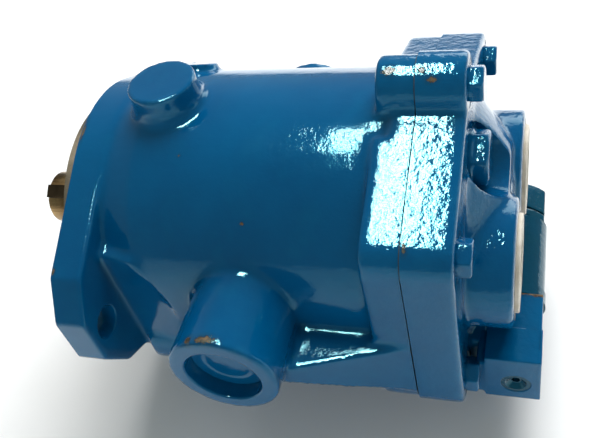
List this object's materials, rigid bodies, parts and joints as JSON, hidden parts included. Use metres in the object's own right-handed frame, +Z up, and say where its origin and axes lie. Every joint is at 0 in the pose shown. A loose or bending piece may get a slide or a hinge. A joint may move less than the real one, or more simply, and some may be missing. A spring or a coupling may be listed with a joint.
{
  "type": "axial piston pump",
  "caption": "Variable displacement axial piston pump with a two-bolt flange, keyed shaft, pintle bosses, rear ports and a pressure compensator.",
  "frame": {"origin": "centre of the pilot on the mounting flange's face", "axes": "+X runs back along the drive shaft to the ports, Y runs through the two flange bolts and the pintles, +Z up through the blank drain boss"},
  "size_m": [0.2381, 0.178, 0.161],
  "materials": {
    "blue_enamel": "glossy thick blue enamel over cast iron",
    "dark_enamel": "darker blue-green enamel with rust at the edges",
    "gasket_sheet": "thin fibre gasket",
    "shaft_steel": "turned steel with a brown oil film",
    "bearing_steel": "ground bearing steel",
    "bronze": "machined bronze",
    "hardened_steel": "ground hardened steel",
    "spring_steel": "dark oil-tempered wire",
    "cast_yoke": "ductile iron with a ground face",
    "seal_rubber": "black nitrile rubber"
  },
  "bodies": {
    "case": {"housing": "blue_enamel", "valve_cover": "blue_enamel", "cover_gasket": "gasket_sheet", "cover_bolts": "blue_enamel", "cover_plug": "blue_enamel", "pintle_plugs": "blue_enamel", "pintle_plug_seals": "seal_rubber", "pintle_bearings": "bearing_steel", "front_bearing_outer_race": "bearing_steel", "bearing_snap_ring": "hardened_steel", "shaft_seal": "seal_rubber", "rear_bearing": "bearing_steel", "port_plate": "bronze", "port_plate_pin": "hardened_steel", "control_sleeve": "hardened_steel", "yoke_spring_seat": "hardened_steel", "yoke_spring": "spring_steel", "compensator_body": "blue_enamel", "compensator_plug": "dark_enamel", "compensator_spring": "spring_steel", "spring_tube": "dark_enamel", "adjuster_locknut": "dark_enamel"},
    "rotor": {"drive_shaft": "shaft_steel", "shaft_key": "shaft_steel", "front_bearing_inner_race": "bearing_steel", "cylinder_block": "bronze", "spherical_washer": "hardened_steel", "block_spring": "spring_steel"},
    "bearing_cage": {"front_bearing_balls": "bearing_steel", "front_bearing_cage": "bronze"},
    "yoke": {"yoke": "cast_yoke"},
    "retainer": {"shoe_retainer": "hardened_steel"},
    "control_piston": {"control_piston": "hardened_steel"},
    "spool": {"compensator_spool": "hardened_steel", "spring_seat_front": "hardened_steel"},
    "adjusting_screw": {"adjusting_screw": "dark_enamel"},
    "spring_seat": {"spring_seat_rear": "hardened_steel"},
    "shoe_1": {"shoe_1": "bronze"},
    "piston_1": {"piston_1": "hardened_steel"},
    "shoe_2": {"shoe_2": "bronze"},
    "piston_2": {"piston_2": "hardened_steel"},
    "shoe_3": {"shoe_3": "bronze"},
    "piston_3": {"piston_3": "hardened_steel"},
    "shoe_4": {"shoe_4": "bronze"},
    "piston_4": {"piston_4": "hardened_steel"},
    "shoe_5": {"shoe_5": "bronze"},
    "piston_5": {"piston_5": "hardened_steel"},
    "shoe_6": {"shoe_6": "bronze"},
    "piston_6": {"piston_6": "hardened_steel"},
    "shoe_7": {"shoe_7": "bronze"},
    "piston_7": {"piston_7": "hardened_steel"},
    "shoe_8": {"shoe_8": "bronze"},
    "piston_8": {"piston_8": "hardened_steel"},
    "shoe_9": {"shoe_9": "bronze"},
    "piston_9": {"piston_9": "hardened_steel"}
  },
  "joints": [
    {"name": "shaft_spin", "type": "hinge", "parent": "case", "child": "rotor", "pos_m": [0, 0, 0], "axis": [1, 0, 0], "continuous": true},
    {"name": "cage_spin", "type": "hinge", "parent": "case", "child": "bearing_cage", "pos_m": [0.028, 0, 0], "axis": [1, 0, 0], "continuous": true},
    {"name": "yoke_tilt", "type": "hinge", "parent": "case", "child": "yoke", "pos_m": [0.0744, 0, 0], "axis": [0, -1, 0], "range_deg": [0, 16], "deforming": ["yoke_spring"]},
    {"name": "retainer_spin", "type": "hinge", "parent": "yoke", "child": "retainer", "pos_m": [0.0744, 0, 0], "axis": [1, 0, 0], "continuous": true},
    {"name": "control_piston_slide", "type": "slide", "parent": "case", "child": "control_piston", "axis": [1, 0, 0], "range_m": [0, 0.00998]},
    {"name": "spool_slide", "type": "slide", "parent": "case", "child": "spool", "axis": [0, 1, 0], "range_m": [0, 0.0018], "deforming": ["compensator_spring"]},
    {"name": "adjuster_turn", "type": "hinge", "parent": "case", "child": "adjusting_screw", "pos_m": [0.1815, 0, -0.044], "axis": [0, 1, 0], "range_deg": [0, 720]},
    {"name": "spring_seat_slide", "type": "slide", "parent": "case", "child": "spring_seat", "axis": [0, -1, 0], "range_m": [0, 0.002], "deforming": ["compensator_spring"]},
    {"name": "shoe_spin_1", "type": "hinge", "parent": "retainer", "child": "shoe_1", "pos_m": [0.0744, 0, 0.02956], "axis": [1, 0, 0], "continuous": true},
    {"name": "piston_swivel_1", "type": "hinge", "parent": "shoe_1", "child": "piston_1", "pos_m": [0.0744, 0, 0.02956], "axis": [0, -1, 0], "range_deg": [-16, 0]},
    {"name": "shoe_spin_2", "type": "hinge", "parent": "retainer", "child": "shoe_2", "pos_m": [0.0744, -0.019, 0.02264], "axis": [1, 0, 0], "continuous": true},
    {"name": "piston_swivel_2", "type": "hinge", "parent": "shoe_2", "child": "piston_2", "pos_m": [0.0744, -0.019, 0.02264], "axis": [0, -1, 0], "range_deg": [-16, 0]},
    {"name": "shoe_spin_3", "type": "hinge", "parent": "retainer", "child": "shoe_3", "pos_m": [0.0744, -0.02911, 0.00513], "axis": [1, 0, 0], "continuous": true},
    {"name": "piston_swivel_3", "type": "hinge", "parent": "shoe_3", "child": "piston_3", "pos_m": [0.0744, -0.02911, 0.00513], "axis": [0, -1, 0], "range_deg": [-16, 0]},
    {"name": "shoe_spin_4", "type": "hinge", "parent": "retainer", "child": "shoe_4", "pos_m": [0.0744, -0.0256, -0.01478], "axis": [1, 0, 0], "continuous": true},
    {"name": "piston_swivel_4", "type": "hinge", "parent": "shoe_4", "child": "piston_4", "pos_m": [0.0744, -0.0256, -0.01478], "axis": [0, -1, 0], "range_deg": [-16, 0]},
    {"name": "shoe_spin_5", "type": "hinge", "parent": "retainer", "child": "shoe_5", "pos_m": [0.0744, -0.01011, -0.02778], "axis": [1, 0, 0], "continuous": true},
    {"name": "piston_swivel_5", "type": "hinge", "parent": "shoe_5", "child": "piston_5", "pos_m": [0.0744, -0.01011, -0.02778], "axis": [0, -1, 0], "range_deg": [-16, 0]},
    {"name": "shoe_spin_6", "type": "hinge", "parent": "retainer", "child": "shoe_6", "pos_m": [0.0744, 0.01011, -0.02778], "axis": [1, 0, 0], "continuous": true},
    {"name": "piston_swivel_6", "type": "hinge", "parent": "shoe_6", "child": "piston_6", "pos_m": [0.0744, 0.01011, -0.02778], "axis": [0, -1, 0], "range_deg": [-16, 0]},
    {"name": "shoe_spin_7", "type": "hinge", "parent": "retainer", "child": "shoe_7", "pos_m": [0.0744, 0.0256, -0.01478], "axis": [1, 0, 0], "continuous": true},
    {"name": "piston_swivel_7", "type": "hinge", "parent": "shoe_7", "child": "piston_7", "pos_m": [0.0744, 0.0256, -0.01478], "axis": [0, -1, 0], "range_deg": [-16, 0]},
    {"name": "shoe_spin_8", "type": "hinge", "parent": "retainer", "child": "shoe_8", "pos_m": [0.0744, 0.02911, 0.00513], "axis": [1, 0, 0], "continuous": true},
    {"name": "piston_swivel_8", "type": "hinge", "parent": "shoe_8", "child": "piston_8", "pos_m": [0.0744, 0.02911, 0.00513], "axis": [0, -1, 0], "range_deg": [-16, 0]},
    {"name": "shoe_spin_9", "type": "hinge", "parent": "retainer", "child": "shoe_9", "pos_m": [0.0744, 0.019, 0.02264], "axis": [1, 0, 0], "continuous": true},
    {"name": "piston_swivel_9", "type": "hinge", "parent": "shoe_9", "child": "piston_9", "pos_m": [0.0744, 0.019, 0.02264], "axis": [0, -1, 0], "range_deg": [-16, 0]}
  ],
  "couplings": [
    {"joint": "cage_spin", "follows": "shaft_spin", "ratio": 0.398},
    {"joint": "retainer_spin", "follows": "shaft_spin", "ratio": 1},
    {"joint": "control_piston_slide", "follows": "yoke_tilt", "m_per_rad": 0.0357},
    {"joint": "spring_seat_slide", "follows": "adjuster_turn", "m_per_rad": 0.00015756},
    {"joint": "shoe_spin_1", "follows": "shaft_spin", "ratio": -1},
    {"joint": "piston_swivel_1", "follows": "yoke_tilt", "ratio": -1},
    {"joint": "shoe_spin_2", "follows": "shaft_spin", "ratio": -1},
    {"joint": "piston_swivel_2", "follows": "yoke_tilt", "ratio": -1},
    {"joint": "shoe_spin_3", "follows": "shaft_spin", "ratio": -1},
    {"joint": "piston_swivel_3", "follows": "yoke_tilt", "ratio": -1},
    {"joint": "shoe_spin_4", "follows": "shaft_spin", "ratio": -1},
    {"joint": "piston_swivel_4", "follows": "yoke_tilt", "ratio": -1},
    {"joint": "shoe_spin_5", "follows": "shaft_spin", "ratio": -1},
    {"joint": "piston_swivel_5", "follows": "yoke_tilt", "ratio": -1},
    {"joint": "shoe_spin_6", "follows": "shaft_spin", "ratio": -1},
    {"joint": "piston_swivel_6", "follows": "yoke_tilt", "ratio": -1},
    {"joint": "shoe_spin_7", "follows": "shaft_spin", "ratio": -1},
    {"joint": "piston_swivel_7", "follows": "yoke_tilt", "ratio": -1},
    {"joint": "shoe_spin_8", "follows": "shaft_spin", "ratio": -1},
    {"joint": "piston_swivel_8", "follows": "yoke_tilt", "ratio": -1},
    {"joint": "shoe_spin_9", "follows": "shaft_spin", "ratio": -1},
    {"joint": "piston_swivel_9", "follows": "yoke_tilt", "ratio": -1}
  ]
}
